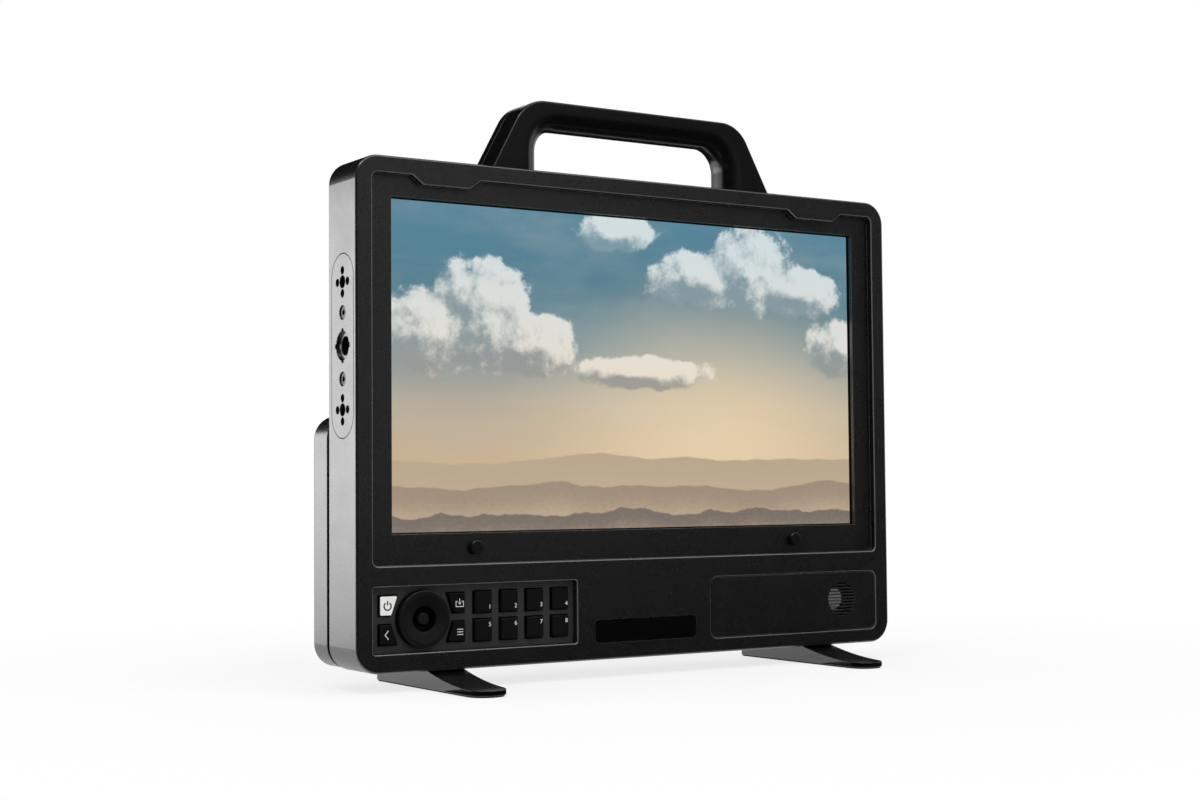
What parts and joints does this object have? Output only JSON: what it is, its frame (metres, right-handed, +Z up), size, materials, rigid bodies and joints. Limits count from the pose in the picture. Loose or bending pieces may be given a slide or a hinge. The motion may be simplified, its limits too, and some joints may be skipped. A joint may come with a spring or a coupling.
{
  "type": "camera field monitor",
  "caption": "Flat field monitor: wide screen in a guard recess, key panel with a control ring and joystick, arched handle, bar feet, side mounting plates and a rear battery plate.",
  "frame": {"origin": "on the floor, in the middle of the feet from side to side and from front to back", "axes": "+X to the right of someone who looks at the screen, +Y from the screen to the back, +Z up"},
  "size_m": [0.3376, 0.109, 0.3011],
  "materials": {
    "housing": "satin black anodised",
    "spacer": "matt",
    "stud": "satin",
    "rubber": "matt",
    "glass": "gloss",
    "display": "lit picture",
    "tray": "matt",
    "bracket": "brushed",
    "keypad": "matt",
    "power_key": "lit",
    "key": "satin",
    "board": "satin",
    "switch": "satin",
    "ring": "satin",
    "stick": "satin",
    "plaque": "gloss",
    "driver": "satin",
    "cone": "gloss",
    "screw": "black oxide",
    "fan": "satin",
    "nickel": "satin",
    "inlet": "satin",
    "battery": "satin",
    "contact": "satin"
  },
  "bodies": {
    "monitor": {"back_cover": "housing", "backlight_tray": "tray", "battery_contacts": "contact", "battery_plate": "battery", "cap_screws": "screw", "connector_board": "board", "cover_glass": "glass", "cover_screws": "screw", "display_panel": "display", "encoder_body": "switch", "fan_frames": "fan", "flat_screws": "screw", "foot_left": "housing", "foot_right": "housing", "foot_soles": "rubber", "front_housing": "housing", "glass_gasket": "rubber", "guard_studs": "stud", "handle_bolts": "screw", "handle_front": "housing", "handle_rear": "housing", "heat_sink": "bracket", "inner_screws": "screw", "joystick_base": "switch", "key_board": "board", "key_switches": "switch", "keypad_panel": "keypad", "main_board": "board", "name_plaque": "plaque", "panel_brackets": "bracket", "power_inlet": "inlet", "rear_box": "housing", "rear_box_screws": "screw", "rear_spacer": "spacer", "side_plate_left": "housing", "side_plate_right": "housing", "speaker_cone": "cone", "speaker_cover": "housing", "speaker_driver": "driver", "video_connectors": "nickel"},
    "power_key": {"power_key": "power_key"},
    "back_key": {"back_key": "key"},
    "input_key": {"input_key": "key"},
    "menu_key": {"menu_key": "key"},
    "function_key_1": {"function_key_1": "key"},
    "function_key_2": {"function_key_2": "key"},
    "function_key_3": {"function_key_3": "key"},
    "function_key_4": {"function_key_4": "key"},
    "function_key_5": {"function_key_5": "key"},
    "function_key_6": {"function_key_6": "key"},
    "function_key_7": {"function_key_7": "key"},
    "function_key_8": {"function_key_8": "key"},
    "control_ring": {"control_ring": "ring"},
    "joystick_carrier": {"joystick_carrier": "stick"},
    "joystick_gimbal": {"joystick_gimbal": "stick"},
    "joystick_stick": {"joystick_stick": "stick", "joystick_cap": "rubber"},
    "fan_rotor_left": {"fan_rotor_left": "fan"},
    "fan_rotor_right": {"fan_rotor_right": "fan"},
    "release_tab": {"release_tab": "battery"}
  },
  "joints": [
    {"name": "power_key_press", "type": "slide", "parent": "monitor", "child": "power_key", "axis": [0, 1, 0], "range_m": [0, 0.0008], "stiffness_N_per_m": 800},
    {"name": "back_key_press", "type": "slide", "parent": "monitor", "child": "back_key", "axis": [0, 1, 0], "range_m": [0, 0.0008], "stiffness_N_per_m": 800},
    {"name": "input_key_press", "type": "slide", "parent": "monitor", "child": "input_key", "axis": [0, 1, 0], "range_m": [0, 0.0008], "stiffness_N_per_m": 800},
    {"name": "menu_key_press", "type": "slide", "parent": "monitor", "child": "menu_key", "axis": [0, 1, 0], "range_m": [0, 0.0008], "stiffness_N_per_m": 800},
    {"name": "function_key_1_press", "type": "slide", "parent": "monitor", "child": "function_key_1", "axis": [0, 1, 0], "range_m": [0, 0.0008], "stiffness_N_per_m": 800},
    {"name": "function_key_2_press", "type": "slide", "parent": "monitor", "child": "function_key_2", "axis": [0, 1, 0], "range_m": [0, 0.0008], "stiffness_N_per_m": 800},
    {"name": "function_key_3_press", "type": "slide", "parent": "monitor", "child": "function_key_3", "axis": [0, 1, 0], "range_m": [0, 0.0008], "stiffness_N_per_m": 800},
    {"name": "function_key_4_press", "type": "slide", "parent": "monitor", "child": "function_key_4", "axis": [0, 1, 0], "range_m": [0, 0.0008], "stiffness_N_per_m": 800},
    {"name": "function_key_5_press", "type": "slide", "parent": "monitor", "child": "function_key_5", "axis": [0, 1, 0], "range_m": [0, 0.0008], "stiffness_N_per_m": 800},
    {"name": "function_key_6_press", "type": "slide", "parent": "monitor", "child": "function_key_6", "axis": [0, 1, 0], "range_m": [0, 0.0008], "stiffness_N_per_m": 800},
    {"name": "function_key_7_press", "type": "slide", "parent": "monitor", "child": "function_key_7", "axis": [0, 1, 0], "range_m": [0, 0.0008], "stiffness_N_per_m": 800},
    {"name": "function_key_8_press", "type": "slide", "parent": "monitor", "child": "function_key_8", "axis": [0, 1, 0], "range_m": [0, 0.0008], "stiffness_N_per_m": 800},
    {"name": "control_ring_turn", "type": "hinge", "parent": "monitor", "child": "control_ring", "pos_m": [-0.1315, -0.005, 0.0353], "axis": [0, 1, 0], "continuous": true},
    {"name": "joystick_press", "type": "slide", "parent": "monitor", "child": "joystick_carrier", "axis": [0, 1, 0], "range_m": [0, 0.0005], "stiffness_N_per_m": 800},
    {"name": "joystick_sideways", "type": "hinge", "parent": "joystick_carrier", "child": "joystick_gimbal", "pos_m": [-0.1315, 0.0017, 0.0353], "axis": [0, 0, 1], "range_deg": [-8, 8], "stiffness_Nm_per_rad": 0.02},
    {"name": "joystick_updown", "type": "hinge", "parent": "joystick_gimbal", "child": "joystick_stick", "pos_m": [-0.1315, 0.0017, 0.0353], "axis": [1, 0, 0], "range_deg": [-8, 8], "stiffness_Nm_per_rad": 0.02},
    {"name": "fan_left_spin", "type": "hinge", "parent": "monitor", "child": "fan_rotor_left", "pos_m": [-0.112, 0.034, 0.0962], "axis": [0, 1, 0], "continuous": true},
    {"name": "fan_right_spin", "type": "hinge", "parent": "monitor", "child": "fan_rotor_right", "pos_m": [0.112, 0.034, 0.0962], "axis": [0, 1, 0], "continuous": true},
    {"name": "release_slide", "type": "slide", "parent": "monitor", "child": "release_tab", "axis": [-1, 0, 0], "range_m": [0, 0.004], "stiffness_N_per_m": 400}
  ]
}
